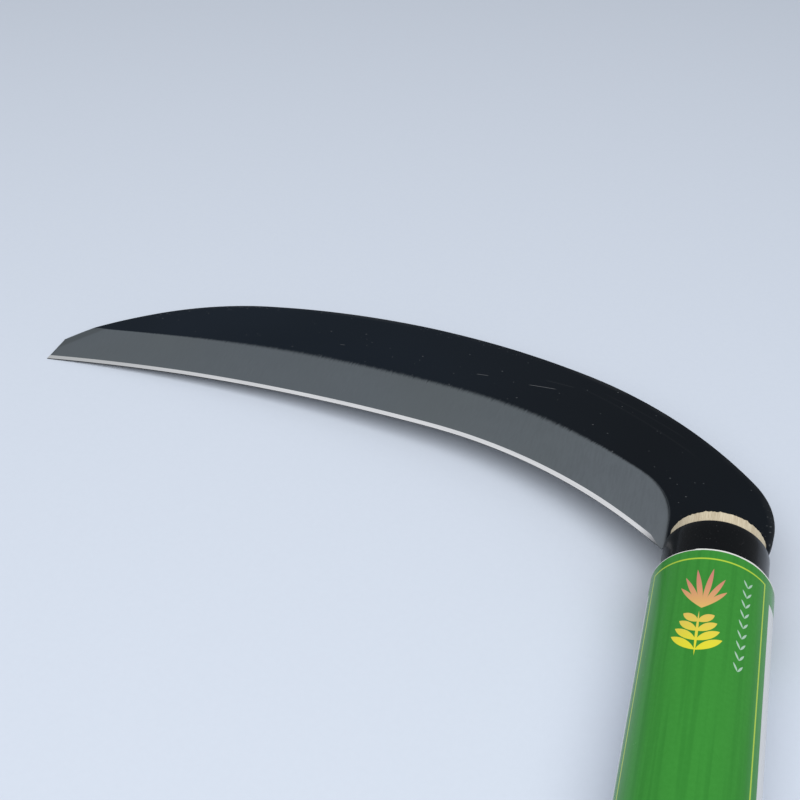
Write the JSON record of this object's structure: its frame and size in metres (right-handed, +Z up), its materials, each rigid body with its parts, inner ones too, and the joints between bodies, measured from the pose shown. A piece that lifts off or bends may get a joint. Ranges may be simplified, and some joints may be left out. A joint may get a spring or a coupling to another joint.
{
  "type": "hand sickle",
  "caption": "Hand sickle with a curved single-bevel blade, a ringed wooden handle and a paper label.",
  "frame": {"origin": "centre of the handle's butt, on the handle's axis", "axes": "+Y up the handle to the blade, +Z up as the sickle lies with its bevel up, blade towards -X"},
  "size_m": [0.2326, 0.4286, 0.0294],
  "materials": {
    "blade_iron": "black scale on the flats, satin grey where ground",
    "honed_steel": "bright honed",
    "handle_wood": "plain pale wood, smooth",
    "ring_black": "gloss black",
    "nail_steel": "plain",
    "label_paper": "gloss printed"
  },
  "bodies": {
    "root": {"blade": "blade_iron", "edge_steel": "honed_steel", "handle": "handle_wood", "ferrule": "ring_black", "tang_nail": "nail_steel", "label": "label_paper"}
  },
  "joints": []
}
